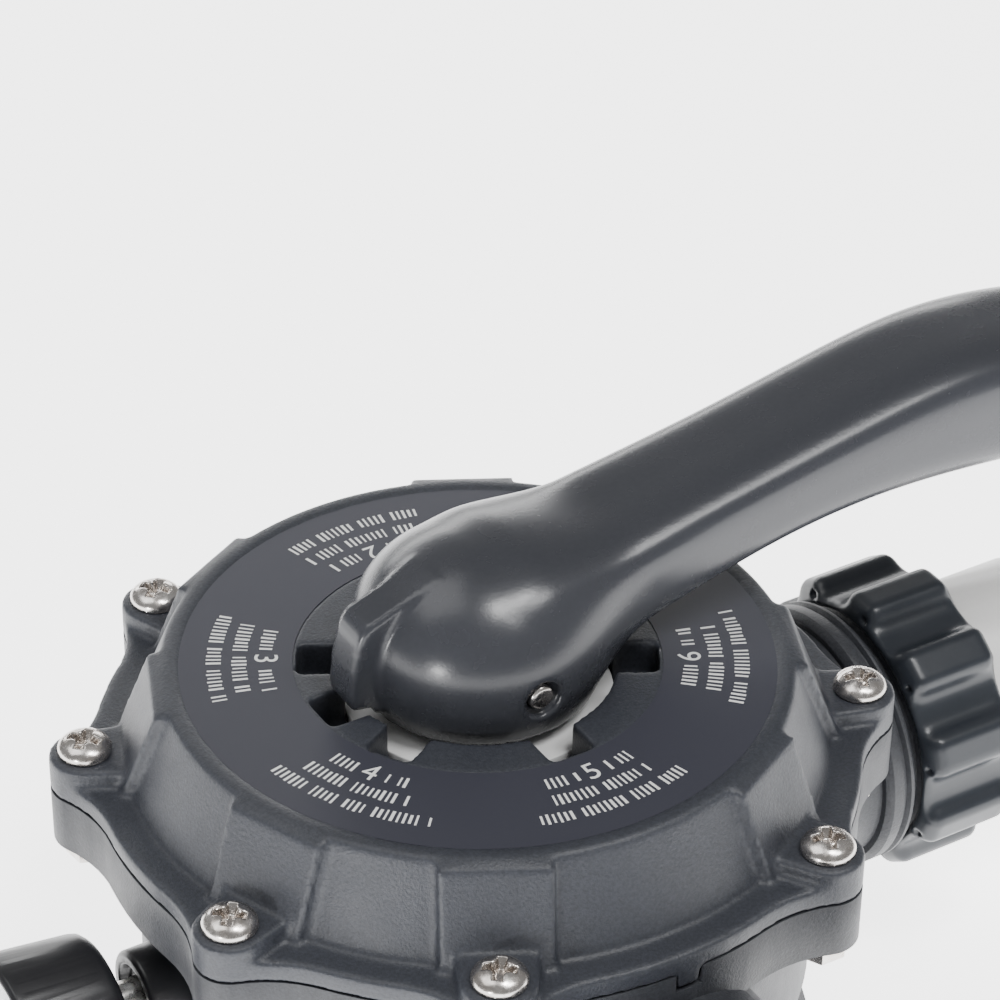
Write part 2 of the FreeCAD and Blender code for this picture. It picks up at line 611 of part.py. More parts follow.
def make_gauge_pointer():
    hub = tube(0, 2.0, CASE_FRONT - 3.5, CASE_FRONT - 2.4)
    spindle = tube(0, 0.8, CASE_FRONT - 8, CASE_FRONT - 3)
    blade = [V(-5, -0.9, CASE_FRONT - 3.2), V(14.5, -0.25, CASE_FRONT - 3.2), V(14.5, 0.25, CASE_FRONT - 3.2),
             V(-5, 0.9, CASE_FRONT - 3.2)]
    blade.append(blade[0])
    pointer = join([hub, spindle, Part.Face(Part.makePolygon(blade)).extrude(V(0, 0, 0.5))])
    pointer.rotate(V(0, 0, 0), Z_AXIS, 45)
    return pointer


def make_gauge_lens():
    lens_r = CASE_FRONT_R - CASE_WALL - 0.1
    return lathe([(0, CASE_FRONT - 1.9), (lens_r, CASE_FRONT - 1.9), (lens_r, CASE_FRONT - 0.7),
                  (lens_r * 0.5, CASE_FRONT - 0.5), (0, CASE_FRONT - 0.4)])


def make_all():
    save("valve_body", make_body())
    save("cover", make_cover())
    save("dial_label", make_label())
    save("cover_o_ring", torus(71.5, 1.45, SEAM_Z - 1.5))
    save("cover_screws", make_screws())
    save("cover_nuts", make_nuts())
    save("handle_washer", tube(STEM_R + 0.6, WELL_R - 0.5, WELL_Z, WELL_Z + 4))
    save("deck_gasket", make_gasket())
    save("rotor", make_rotor())
    save("stem_o_rings", make_stem_seals())
    save("spring", make_spring())
    save("spring_washer", tube(STEM_R + 0.4, SPRING_WELL_R - 0.3, SPRING_FOOT_Z - 2, SPRING_FOOT_Z))
    save("handle_pin", make_pin())
    save("handle", make_handle())
    for name, az in UNIONS.items():
        save(name + "_union_nut", outward(make_union_nut(), az))
        save(name + "_tail", outward(make_tail(), az))
        save(name + "_union_o_ring", outward(torus(23.1, 1.35, PORT_END - 0.95), az))
    save("waste_cap", outward(make_cap(), WASTE_AZ))
    save("waste_seal", outward(tube(18.5, 23.5, 94.05, 94.75), WASTE_AZ))
    save("gauge_adapter", outward(make_gauge_adapter(), GAUGE_AZ))
    save("gauge_stem", outward(make_gauge_stem(), GAUGE_AZ))
    save("gauge_case", outward(make_gauge_case(), GAUGE_AZ))
    save("gauge_tube", outward(make_gauge_tube(), GAUGE_AZ))
    save("gauge_dial", outward(make_gauge_dial(), GAUGE_AZ))
    save("gauge_pointer", outward(make_gauge_pointer(), GAUGE_AZ))
    save("gauge_lens", outward(make_gauge_lens(), GAUGE_AZ))
    save("tank_o_ring", torus(70.7, 1.3, 1.4))
    save("standpipe_seal", torus(PIPE_BORE_R + 0.8, 0.75, 10.5))


make_all()
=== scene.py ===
"""Looks of the multiport valve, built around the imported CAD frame. Metres."""

import json
import math

import bmesh
import bpy
import numpy as np
from mathutils import Matrix, Vector


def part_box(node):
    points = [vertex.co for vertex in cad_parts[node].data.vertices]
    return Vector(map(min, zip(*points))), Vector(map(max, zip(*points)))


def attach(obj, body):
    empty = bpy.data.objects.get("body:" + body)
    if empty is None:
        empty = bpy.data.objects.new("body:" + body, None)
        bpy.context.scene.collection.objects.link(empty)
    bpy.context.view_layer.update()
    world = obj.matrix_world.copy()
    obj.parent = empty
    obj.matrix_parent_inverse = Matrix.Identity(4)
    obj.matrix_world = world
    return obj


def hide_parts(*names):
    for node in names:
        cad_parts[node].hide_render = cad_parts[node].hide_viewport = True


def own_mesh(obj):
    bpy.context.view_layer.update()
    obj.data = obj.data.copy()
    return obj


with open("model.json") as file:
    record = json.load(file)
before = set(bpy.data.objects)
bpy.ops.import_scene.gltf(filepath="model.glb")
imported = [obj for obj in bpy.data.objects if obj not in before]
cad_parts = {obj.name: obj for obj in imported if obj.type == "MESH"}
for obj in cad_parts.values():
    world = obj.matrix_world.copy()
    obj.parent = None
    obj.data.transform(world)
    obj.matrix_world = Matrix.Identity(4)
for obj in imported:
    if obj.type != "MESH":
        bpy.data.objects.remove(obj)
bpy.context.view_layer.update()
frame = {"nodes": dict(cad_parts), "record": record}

MM = 0.001
TAU = 2 * math.pi

# ---------------------------------------------------------------- places, from the frame
LABEL_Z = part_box("dial_label")[1][2]
PIN_LOW, PIN_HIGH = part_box("handle_pin")
PIN_Z = (PIN_LOW[2] + PIN_HIGH[2]) / 2
TAIL_LOW, TAIL_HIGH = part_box("inlet_tail")
PORT_Z = (TAIL_LOW[2] + TAIL_HIGH[2]) / 2


# ---------------------------------------------------------------- camera, light and floor
CAMERA_RISE = 486.3 * MM        # above the dial
CAMERA_PLAN = Vector((-339.5 * MM, -558.3 * MM))
CAMERA_HEADING = 58.31          # degrees from +X, seen from above
CAMERA_DIP = 34.23
CAMERA_ROLL = 0.72
SENSOR = 36.0
LENS = 133.86
LAMP_AIM_X = 0.02
FLOOR_HALF = 6.0


def make_camera():
    heading = math.radians(CAMERA_HEADING)
    dip = math.radians(CAMERA_DIP)
    roll = math.radians(CAMERA_ROLL)
    ahead = Vector((math.cos(heading) * math.cos(dip), math.sin(heading) * math.cos(dip), -math.sin(dip)))
    level_right = Vector((math.sin(heading), -math.cos(heading), 0))
    level_up = level_right.cross(ahead)
    right = level_right * math.cos(roll) + level_up * math.sin(roll)
    up = level_up * math.cos(roll) - level_right * math.sin(roll)
    data = bpy.data.cameras.new("camera")
    data.sensor_width = SENSOR
    data.lens = LENS
    data.clip_start = 0.02
    data.clip_end = 20
    camera = bpy.data.objects.new("camera", data)
    bpy.context.scene.collection.objects.link(camera)
    place = Matrix((right, up, -ahead)).transposed().to_4x4()
    place.translation = Vector((CAMERA_PLAN.x, CAMERA_PLAN.y, LABEL_Z + CAMERA_RISE))
    camera.matrix_world = place
    bpy.context.scene.camera = camera


def softbox(name, heading, height, distance, size, power):
    """Lamp in the direction of heading and height, in degrees, aimed near the middle of the dial."""
    heading = math.radians(heading)
    height = math.radians(height)
    level = Vector((math.cos(heading), math.sin(heading), 0))
    away = level * math.cos(height) + Vector((0, 0, math.sin(height)))
    data = bpy.data.lights.new(name, "AREA")
    data.shape = "RECTANGLE"
    data.size, data.size_y = size
    data.energy = power
    lamp = bpy.data.objects.new(name, data)
    bpy.context.scene.collection.objects.link(lamp)
    lamp.location = Vector((LAMP_AIM_X, 0, LABEL_Z)) + away * distance
    lamp.rotation_euler = away.to_track_quat("Z", "Y").to_euler()


def make_light():
    world = bpy.data.worlds.new("studio")
    world.use_nodes = True
    background = world.node_tree.nodes["Background"]
    background.inputs["Color"].default_value = (1.0, 1.0, 1.0, 1)
    background.inputs["Strength"].default_value = 0.30
    bpy.context.scene.world = world
    softbox("key_softbox", -75, 70, 1.1, (0.22, 0.22), 5.5)
    softbox("lever_softbox", -60, 57, 1.2, (0.34, 0.20), 3.5)
    softbox("left_lamp", -154, 2, 1.2, (0.10, 0.10), 5.0)
    softbox("back_strip", 73, 14, 1.4, (1.3, 0.22), 7.0)
    softbox("top_fill", 150, 62, 1.3, (0.8, 0.8), 5.0)


def make_floor():
    corners = [(FLOOR_HALF * x, FLOOR_HALF * y, 0) for x, y in ((-1, -1), (1, -1), (1, 1), (-1, 1))]
    mesh = bpy.data.meshes.new("floor")
    mesh.from_pydata(corners, [], [(0, 1, 2, 3)])
    floor = bpy.data.objects.new("floor", mesh)
    bpy.context.scene.collection.objects.link(floor)
    material = bpy.data.materials.new("floor_white")
    material.use_nodes = True
    shader = material.node_tree.nodes["Principled BSDF"]
    shader.inputs["Base Color"].default_value = (0.93, 0.93, 0.93, 1)
    shader.inputs["Roughness"].default_value = 0.8
    shader.inputs["Specular IOR Level"].default_value = 0.1
    shader.inputs["Emission Color"].default_value = (1, 1, 1, 1)
    shader.inputs["Emission Strength"].default_value = 3.4
    mesh.materials.append(material)


# ---------------------------------------------------------------- materials
class Nodes:
    """Small helper that adds and links shader nodes in one material."""

    def __init__(self, name):
        self.material = bpy.data.materials.new(name)
        self.material.use_nodes = True
        self.tree = self.material.node_tree
        self.shader = self.tree.nodes["Principled BSDF"]
        self.place = self.add("ShaderNodeTexCoord").outputs["Object"]

    def add(self, kind, **values):
        node = self.tree.nodes.new(kind)
        for key, value in values.items():
            setattr(node, key, value)
        return node

    def link(self, a, b):
        self.tree.links.new(a, b)

    def noise(self, scale, detail=2.0, rough=0.5, place=None):
        node = self.add("ShaderNodeTexNoise")
        node.inputs["Scale"].default_value = scale
        node.inputs["Detail"].default_value = detail
        node.inputs["Roughness"].default_value = rough
        self.link(place or self.place, node.inputs["Vector"])
        return node.outputs["Fac"]

    def span(self, value, low, high, to_low, to_high):
        """value moved from the range low..high to to_low..to_high."""
        node = self.add("ShaderNodeMapRange")
        for key, number in zip(("From Min", "From Max", "To Min", "To Max"), (low, high, to_low, to_high)):
            node.inputs[key].default_value = number
        self.link(value, node.inputs["Value"])
        return node.outputs["Result"]

    def math(self, operation, a, b=None):
        node = self.add("ShaderNodeMath", operation=operation)
        for socket, value in zip(node.inputs, (a, b)):
            if value is None:
                continue
            if isinstance(value, (int, float)):
                socket.default_value = value
            else:
                self.link(value, socket)
        return node.outputs["Value"]

    def mix(self, factor, a, b):
        node = self.add("ShaderNodeMix", data_type="RGBA")
        for socket, value in ((node.inputs["Factor"], factor), (node.inputs["A"], a), (node.inputs["B"], b)):
            if isinstance(value, (int, float)):
                socket.default_value = value
            elif isinstance(value, tuple):
                socket.default_value = value + (1,)
            else:
                self.link(value, socket)
        return node.outputs["Result"]

    def bump(self, height, strength, distance, under=None):
        node = self.add("ShaderNodeBump")
        node.inputs["Strength"].default_value = strength
        node.inputs["Distance"].default_value = distance
        self.link(height, node.inputs["Height"])
        if under is not None:
            self.link(under, node.inputs["Normal"])
        return node.outputs["Normal"]


def shade(colour, amount):
    return tuple(min(1.0, c * amount) for c in colour)


def moulded(name, colour, roughness, grain, grain_depth, blotch=0.10, speckle=0.06, swirl=0.0, uneven=0.03):
    """Moulded plastic: spark-eroded grain, faint flow blotches, slightly uneven gloss. Depths in metres."""
    n = Nodes(name)
    blotches = n.noise(38, 3.0, 0.55)
    dots = n.noise(grain * 0.9, 2.0, 0.6)
    tone = n.mix(n.span(blotches, 0.3, 0.7, 0, 1), shade(colour, 1 - blotch), shade(colour, 1 + blotch))
    pits = n.mix(n.span(dots, 0.35, 0.65, 0, 1), shade(colour, 1 - speckle), shade(colour, 1 + speckle))
    n.link(n.mix(0.5, tone, pits), n.shader.inputs["Base Color"])
    n.link(n.span(n.noise(140, 3.0, 0.6), 0.3, 0.7, roughness - uneven, roughness + uneven),
           n.shader.inputs["Roughness"])
    fine = n.noise(grain, 3.0, 0.6)
    normal = n.bump(fine, 1.0, grain_depth)
    if swirl > 0:
        normal = n.bump(n.noise(90, 2.0, 0.5), 1.0, swirl, normal)
    n.link(normal, n.shader.inputs["Normal"])
    return n.material


def metal(name, colour, roughness, tarnish, streak=900):
    """Bare metal with clouds of tarnish and a fine polish."""
    n = Nodes(name)
    cloud = n.span(n.noise(260, 3.0, 0.6), 0.35, 0.7, 0, 1)
    n.link(n.mix(cloud, colour, tarnish), n.shader.inputs["Base Color"])
    n.shader.inputs["Metallic"].default_value = 1.0
    n.link(n.span(n.noise(streak, 3.0, 0.6), 0.3, 0.7, roughness - 0.06, roughness + 0.10),
           n.shader.inputs["Roughness"])
    n.link(n.bump(n.noise(streak, 2.0, 0.5), 0.6, 0.000004), n.shader.inputs["Normal"])
    return n.material


def rubber(name):
    n = Nodes(name)
    n.link(n.mix(n.span(n.noise(400, 3.0, 0.6), 0.3, 0.7, 0, 1), (0.012, 0.012, 0.013), (0.03, 0.03, 0.031)),
           n.shader.inputs["Base Color"])
    n.shader.inputs["Roughness"].default_value = 0.62
    n.link(n.bump(n.noise(2500, 2.0, 0.5), 0.5, 0.00002), n.shader.inputs["Normal"])
    return n.material


def clear(name):
    n = Nodes(name)
    n.shader.inputs["Base Color"].default_value = (0.97, 0.98, 0.98, 1)
    n.shader.inputs["Transmission Weight"].default_value = 1.0
    n.shader.inputs["IOR"].default_value = 1.49
    n.link(n.span(n.noise(120, 2.0, 0.5), 0.3, 0.7, 0.01, 0.06), n.shader.inputs["Roughness"])
    return n.material


MATERIALS = {
    "body_plastic": moulded("body_plastic", (0.030, 0.032, 0.038), 0.50, 1500, 0.00013, speckle=0.35),
    "cover_plastic": moulded("cover_plastic", (0.031, 0.034, 0.043), 0.46, 1500, 0.00014, speckle=0.35),
    "handle_plastic": moulded("handle_plastic", (0.036, 0.038, 0.045), 0.27, 1000, 0.000025, 0.02,
                              uneven=0.01, swirl=0.00002),
    "nut_plastic": moulded("nut_plastic", (0.022, 0.026, 0.033), 0.34, 900, 0.000010, 0.04, swirl=0.00002),
    "rotor_plastic": moulded("rotor_plastic", (0.05, 0.05, 0.055), 0.45, 2000, 0.00003),
    "black_plastic": moulded("black_plastic", (0.011, 0.011, 0.013), 0.34, 2600, 0.00002),
    "label_film": moulded("label_film", (0.037, 0.038, 0.052), 0.42, 3800, 0.00001, 0.02, uneven=0.0),
    "print_white": moulded("print_white", (0.86, 0.86, 0.84), 0.5, 3000, 0.000004, 0.02, uneven=0.02),
    "print_black": moulded("print_black", (0.02, 0.02, 0.02), 0.5, 3000, 0.000004, 0.02, uneven=0.02),
    "white_nylon": moulded("white_nylon", (0.82, 0.82, 0.81), 0.42, 1500, 0.00002, 0.02, 0.02),
    "white_pvc": moulded("white_pvc", (0.86, 0.85, 0.83), 0.33, 1200, 0.00001, 0.02, 0.02, swirl=0.00003),
    "seal_rubber": rubber("seal_rubber"),
    "stainless_steel": metal("stainless_steel", (0.72, 0.69, 0.66), 0.22, (0.56, 0.51, 0.47)),
    "plated_brass": metal("plated_brass", (0.72, 0.72, 0.70), 0.28, (0.55, 0.54, 0.50)),
    "dial_white": moulded("dial_white", (0.88, 0.88, 0.88), 0.45, 1500, 0.00001, 0.02, 0.02),
    "pointer_black": moulded("pointer_black", (0.012, 0.012, 0.012), 0.5, 1500, 0.00001, 0.05),
    "clear_lens": clear("clear_lens"),
}


def paint_nodes():
    slots = {part["node"]: part["material_slot"] for part in frame["record"]["subparts"]}
    for name, node in frame["nodes"].items():
        node.data.materials.clear()
        node.data.materials.append(MATERIALS[slots[name]])
    return slots


# ---------------------------------------------------------------- solids as distance fields, in millimetres
def surface_nets(field, origin, step):
    """Vertices and outward quads of the zero surface of a sampled distance field."""
    inside = field < 0
    cells = tuple(n - 1 for n in field.shape)
    count = np.zeros(cells)
    total = np.zeros(cells + (3,))
    crossings = []
    for axis in range(3):
        low = [slice(None)] * 3
        high = [slice(None)] * 3
        low[axis] = slice(0, -1)
        high[axis] = slice(1, None)
        low, high = tuple(low), tuple(high)
        crossing = inside[low] != inside[high]
        gap = np.where(crossing, field[low] - field[high], 1.0)
        along = np.where(crossing, field[low] / gap, 0.0)
        crossings.append((crossing, inside[low]))
        others = [k for k in range(3) if k != axis]
        for first in (0, 1):
            for second in (0, 1):
                part = [slice(None)] * 3
                part[others[0]] = slice(first, cells[others[0]] + first)
                part[others[1]] = slice(second, cells[others[1]] + second)
                part = tuple(part)
                hit = crossing[part]
                count += hit
                total[..., axis] += np.where(hit, along[part], 0)
                total[..., others[0]] += hit * first
                total[..., others[1]] += hit * second
    active = count > 0
    number = np.full(cells, -1)
    number[active] = np.arange(active.sum())
    corner = np.argwhere(active)
    vertices = np.asarray(origin) + (corner + total[active] / count[active][:, None]) * step
    faces = []
    for axis, (crossing, from_inside) in enumerate(crossings):
        b, c = (axis + 1) % 3, (axis + 2) % 3
        edge = np.argwhere(crossing)
        edge = edge[(edge[:, b] > 0) & (edge[:, b] < cells[b]) & (edge[:, c] > 0) & (edge[:, c] < cells[c])]
        ring = []
        for step_b, step_c in ((1, 1), (0, 1), (0, 0), (1, 0)):
            cell = edge.copy()
            cell[:, b] -= step_b
            cell[:, c] -= step_c
            ring.append(number[tuple(cell.T)])
        quad = np.stack(ring, 1)
        leaving = from_inside[tuple(edge.T)]
        faces.append(np.where(leaving[:, None], quad, quad[:, ::-1]))
    return vertices, np.concatenate(faces)


def solidify(name, distance, low, high, step, settle=4):
    """Mesh of a distance function: sampled, netted, then pulled onto the exact surface."""
    axes = [np.arange(a - 2 * step, b + 3 * step, step) for a, b in zip(low, high)]
    grid = np.meshgrid(*axes, indexing="ij")
    field = distance(*grid)
    vertices, faces = surface_nets(field, [axis[0] for axis in axes], step)
    reach = step * 0.1
    for _ in range(settle):
        x, y, z = vertices.T
        here = distance(x, y, z)
        slope = np.stack([distance(x + reach, y, z) - distance(x - reach, y, z),
                          distance(x, y + reach, z) - distance(x, y - reach, z),
                          distance(x, y, z + reach) - distance(x, y, z - reach)], 1) / (2 * reach)
        steepness = np.maximum((slope ** 2).sum(1), 0.25)
        move = slope * (here / steepness)[:, None]
        length = np.linalg.norm(move, axis=1)
        move *= np.minimum(1, step * 0.4 / np.maximum(length, 1e-9))[:, None]
        vertices = vertices - move
    mesh = bpy.data.meshes.new(name)
    mesh.from_pydata((vertices * MM).tolist(), [], faces.tolist())
    mesh.shade_smooth()
    return mesh


def blend_min(a, b, width):
    """Union of two distances with a fillet of about the given width."""
    h = np.clip(0.5 + 0.5 * (b - a) / width, 0, 1)
    return b + (a - b) * h - width * h * (1 - h)


def blend_max(a, b, width):
    return -blend_min(-a, -b, width)


def box_distance(x, y, z, low, high, rounding=0.0):
    inner = []
    for value, a, b in zip((x, y, z), low, high):
        inner.append(np.abs(value - (a + b) / 2) - (b - a) / 2 + rounding)
    outside = np.sqrt(sum(np.maximum(v, 0) ** 2 for v in inner))
    return outside + np.minimum(np.maximum(np.maximum(inner[0], inner[1]), inner[2]), 0) - rounding


def rod_distance(radial, along, radius, start, end, rounding=0.0):
    """Cylinder from its two coordinates: distance from the axis and position along it."""
    side = radial - radius + rounding
    cap = np.abs(along - (start + end) / 2) - (end - start) / 2 + rounding
    return np.hypot(np.maximum(side, 0), np.maximum(cap, 0)) + np.minimum(np.maximum(side, cap), 0) - rounding


def polygon_distance(x, y, points):
    """Signed distance to a closed polygon in its own plane."""
    nearest = np.full(np.shape(x), 1e9)
    sign = np.ones(np.shape(x))
    for (ax, ay), (bx, by) in zip(points, points[1:] + points[:1]):
        ex, ey = bx - ax, by - ay
        wx, wy = x - ax, y - ay
        t = np.clip((wx * ex + wy * ey) / (ex * ex + ey * ey), 0, 1)
        nearest = np.minimum(nearest, (wx - ex * t) ** 2 + (wy - ey * t) ** 2)
        above, below = y >= ay, y < by
        turn = ex * wy > ey * wx
        flips = (above & below & turn) | (~above & ~below & ~turn)
        sign = np.where(flips, -sign, sign)
    return sign * np.sqrt(nearest)


def place_piece(name, mesh, body, replaced, material):
    piece = bpy.data.objects.new(name, mesh)
    bpy.context.scene.collection.objects.link(piece)
    mesh.materials.clear()
    mesh.materials.append(MATERIALS[material])
    if body:
        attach(piece, body)
    if replaced:
        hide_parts(replaced)
    return piece


# ---------------------------------------------------------------- handle
DIAL = LABEL_Z / MM                     # heights of the handle are measured from the dial face
HUB_R = 28.0
HUB_WAIST = 9.0                         # height of the hub's widest ring
HUB_RISE = 22.5
LEVER_X = [-40, -20, -8, 4, 15, 28, 44, 66, 94, 121, 150, 176, 192, 200]
LEVER_HALF = [14, 14.2, 15, 17, 18.6, 19.0, 18.3, 17.6, 17.8, 18.6, 19, 18.0, 16.5, 15.5]
LEVER_LOW = [7.0, 6.9, 6.4, 5.5, 4.8, 5.0, 8.2, 13.2, 16.3, 15.4, 12.6, 10.6, 11.0, 12.0]
LEVER_TOP = [18.5, 18.9, 20.6, 24, 27.0, 29.6, 32.6, 36.6, 42.2, 46.0, 43.6, 37.5, 33.0, 31.0]
LEVER_POWER = 3.6                       # squareness of the lever's section
LEVER_END = 199.0
FIN = [(-4, 4), (-7, 22), (-13.0, 28.2), (-29.8, 22.1), (-31.3, 20.6), (-32.5, 18), (-34.0, 11), (-34.6, 4.4),
       (-34.0, 1.5), (-29.2, 0.4), (-28.4, -1.3), (-24.9, -2.2), (-15, -2.2)]


def smooth_curve(stations, values):
    """Natural cubic spline through the stations, straight beyond its ends."""
    s, v = np.asarray(stations, float), np.asarray(values, float)
    h = np.diff(s)
    system = np.zeros((len(s), len(s)))
    right = np.zeros(len(s))
    system[0, 0] = system[-1, -1] = 1
    for k in range(1, len(s) - 1):
        system[k, k - 1:k + 2] = h[k - 1], 2 * (h[k - 1] + h[k]), h[k]
        right[k] = 6 * ((v[k + 1] - v[k]) / h[k] - (v[k] - v[k - 1]) / h[k - 1])
    bend = np.linalg.solve(system, right)

    first_slope = (v[1] - v[0]) / h[0] - h[0] * bend[1] / 6
    last_slope = (v[-1] - v[-2]) / h[-1] + h[-1] * bend[-2] / 6

    def curve(x):
        held = np.clip(x, s[0], s[-1])
        k = np.clip(np.searchsorted(s, held) - 1, 0, len(s) - 2)
        a, b = s[k + 1] - held, held - s[k]
        value = (bend[k] * a ** 3 + bend[k + 1] * b ** 3) / (6 * h[k])
        value += (v[k] / h[k] - bend[k] * h[k] / 6) * a + (v[k + 1] / h[k] - bend[k + 1] * h[k] / 6) * b
        return value + np.minimum(x - s[0], 0) * first_slope + np.maximum(x - s[-1], 0) * last_slope
    return curve


lever_half = smooth_curve(LEVER_X, LEVER_HALF)
lever_low = smooth_curve(LEVER_X, LEVER_LOW)
lever_top = smooth_curve(LEVER_X, LEVER_TOP)


def lever_level(x, y, z):
    """Zero on the lever's surface: a rounded-square section that shrinks at both ends."""
    low, top = lever_low(x), lever_top(x)
    u = np.abs(y) / lever_half(x)
    v = np.abs(z - (low + top) / 2) / ((top - low) / 2)
    w = np.maximum(np.maximum(x - (LEVER_END - 26), 0) / 26, np.maximum(22 - x, 0) / 27)
    return (u ** LEVER_POWER + v ** LEVER_POWER + w ** 2.6) ** (1 / LEVER_POWER) - 1


def lever_distance(x, y, z):
    e = 0.05
    level = lever_level(x, y, z)
    slope = np.sqrt((lever_level(x + e, y, z) - level) ** 2 + (lever_level(x, y + e, z) - level) ** 2
                    + (lever_level(x, y, z + e) - level) ** 2) / e
    return level / np.maximum(slope, 0.02)


def hub_distance(x, y, z):
    """Ellipsoid above the waist, a taller one below it, cut off flat at its foot."""
    radial = np.hypot(x, y)
    rise = z - HUB_WAIST
    height = np.where(rise > 0, HUB_RISE, 34.0)
    k = np.sqrt((radial / HUB_R) ** 2 + (rise / height) ** 2)
    slope = np.sqrt((radial / HUB_R ** 2) ** 2 + (rise / height ** 2) ** 2)
    return np.maximum(k * (k - 1) / np.maximum(slope, 1e-6), -4.4 - z)


def handle_distance(x, y, z):
    """Hub, lever and fin, hollow below, with the cam block, the stem's slot and the pin's hole."""
    z = z - DIAL
    pin = PIN_Z / MM - DIAL
    nearness = np.clip((x + 14) / 22, 0, 1)
    fillet = 3 + 10 * nearness ** 2 * (3 - 2 * nearness)        # wide on the lever's side only
    outside = blend_min(hub_distance(x, y, z), lever_distance(x, y, z), fillet)
    fin = blend_max(polygon_distance(x, z, FIN), np.abs(y) - 5.0, 1.0)
    outside = blend_min(outside, fin, 1.6)
    outside = blend_max(outside, -5.2 - z, 0.8)
    radial = np.hypot(x, y)
    hollow = rod_distance(radial, z, HUB_R - 5.5, -20, 10)
    solid = blend_max(outside, -hollow, 0.8)
    cam = np.maximum(box_distance(x, y, z, (-18.5, -14, -7.6), (18.5, 14, 14), 0.6), radial - 22)
    solid = np.minimum(solid, cam)
    slot = box_distance(x, y, z, (-13.7, -9.8, -30), (13.7, 9.8, 23))
    across = np.hypot(x, z - pin)
    solid = blend_max(solid, -slot, 0.4)
    solid = blend_max(solid, -(across - 3.1), 0.2)
    return blend_max(solid, -rod_distance(across, np.abs(y), 4.5, 25.6, 60, 0.3), 0.7)


def make_handle():
    mesh = solidify("handle_skin", handle_distance, (-35, -29, DIAL - 8), (199.5, 29, DIAL + 47), 1.0)
    place_piece("handle_moulding", mesh, "lever", "handle", "handle_plastic")


# ---------------------------------------------------------------- union nuts
NUT_FROM, NUT_TO = 103.0, 128.5
NUT_RIDGES = 10


def nut_distance(x, y, z):
    """Ridged ring along +Z, its face towards the valve at the low end."""
    radial = np.hypot(x, y)
    step = TAU / NUT_RIDGES
    turn = np.arctan2(y, x)
    near = np.mod(turn + step / 2, step) - step / 2
    px, py = radial * np.cos(near), radial * np.sin(near)
    ring = rod_distance(radial, z, 31.6, NUT_FROM, NUT_TO, 2.0)
    ridge = box_distance(px, py, z, (26, -5.4, NUT_FROM + 1.2), (35.9, 5.4, NUT_TO - 0.6), 3.0)
    solid = blend_min(ring, ridge, 4.0)
    solid = np.maximum(solid, -rod_distance(radial, z, 29.9, NUT_FROM - 9, 124.2))
    solid = np.maximum(solid, -rod_distance(radial, z, 25.5, 120, NUT_TO + 9))
    lip = blend_max(solid, NUT_FROM + 0.3 - z, 0.8)
    pocket = np.sqrt((px - 32.3) ** 2 + (py - 3.0) ** 2 + ((z - NUT_FROM - 0.6) * 0.75) ** 2) - 1.0
    return blend_max(lip, -pocket, 0.4)


def make_nuts():
    mesh = solidify("nut_skin", nut_distance, (-37, -37, NUT_FROM), (37, 37, NUT_TO), 0.85, 3)
    for name, heading in (("inlet", 0), ("outlet", -math.pi / 2)):
        part = mesh.copy()
        part.transform(Matrix.Translation((0, 0, PORT_Z)) @ Matrix.Rotation(heading, 4, "Z")
                       @ Matrix.Rotation(math.pi / 2, 4, "Y"))
        place_piece(name + "_nut_moulding", part, name + "_nut", name + "_union_nut", "nut_plastic")


# ---------------------------------------------------------------- cover screws
HEAD_R = 6.0
HEAD_FOOT = 95.0
SCREW_PITCH_R = 86.6
SCREW_AZ = [23, 62, 118, 157, 203, 242, 298, 337]


def screw_distance(x, y, z):
    """Domed head with a cross recess, and the shank below it, upright on the axis."""
    radial = np.hypot(x, y)
    rise = z - HEAD_FOOT
    k = np.sqrt((radial / HEAD_R) ** 2 + (np.maximum(rise - 0.9, 0) / 3.1) ** 2)
    dome = (k - 1) * 4.2
    head = blend_max(dome, -rise, 0.5)
    shank = rod_distance(radial, rise, 2.95, -29.5, 1)
    depth = np.maximum(rise - 0.9, 0)
    wing = 0.62 + 0.17 * depth
    arm = 2.2 + 0.60 * depth
    along_x = np.maximum(np.abs(y) - wing, np.abs(x) - arm)
    along_y = np.maximum(np.abs(x) - wing, np.abs(y) - arm)
    cross = np.minimum(along_x, along_y)
    cone = radial - (0.5 + 0.55 * depth)
    recess = np.maximum(blend_min(cross, cone, 0.6), 1.0 - rise)
    return blend_max(np.minimum(head, shank), -recess, 0.3)


def make_screws():
    low = (-HEAD_R, -HEAD_R, HEAD_FOOT - 1)
    high = (HEAD_R, HEAD_R, HEAD_FOOT + 4)
    head = solidify("screw_head", screw_distance, low, high, 0.3, 3)
    pitch = SCREW_PITCH_R * MM
    whole = bmesh.new()
    for index, az in enumerate(SCREW_AZ):
        turn = math.radians(az)
        place = Matrix.Translation((pitch * math.cos(turn), pitch * math.sin(turn), 0))
        part = head.copy()
        part.transform(place @ Matrix.Rotation(turn + 0.9 * index, 4, "Z"))
        whole.from_mesh(part)
    result = bpy.data.meshes.new("screws")
    whole.to_mesh(result)
    whole.free()
    result.shade_smooth()
    place_piece("screw_heads", result, BODY_OF["cover_screws"], "cover_screws", "stainless_steel")


# ---------------------------------------------------------------- print on the dial and the gauge
GROUP_AZ = [30, 90, 150, 210, 270, 330]
ROW_R = [46.6, 52.2, 57.8]              # middle of each row of marks
MARK_H = 3.3
NUMERAL_H = 5.4
MAJOR_TICK = 15.6, 0.5, 2.6             # radius, width and height on the gauge's dial
MINOR_TICK = 16.0, 0.25, 1.6


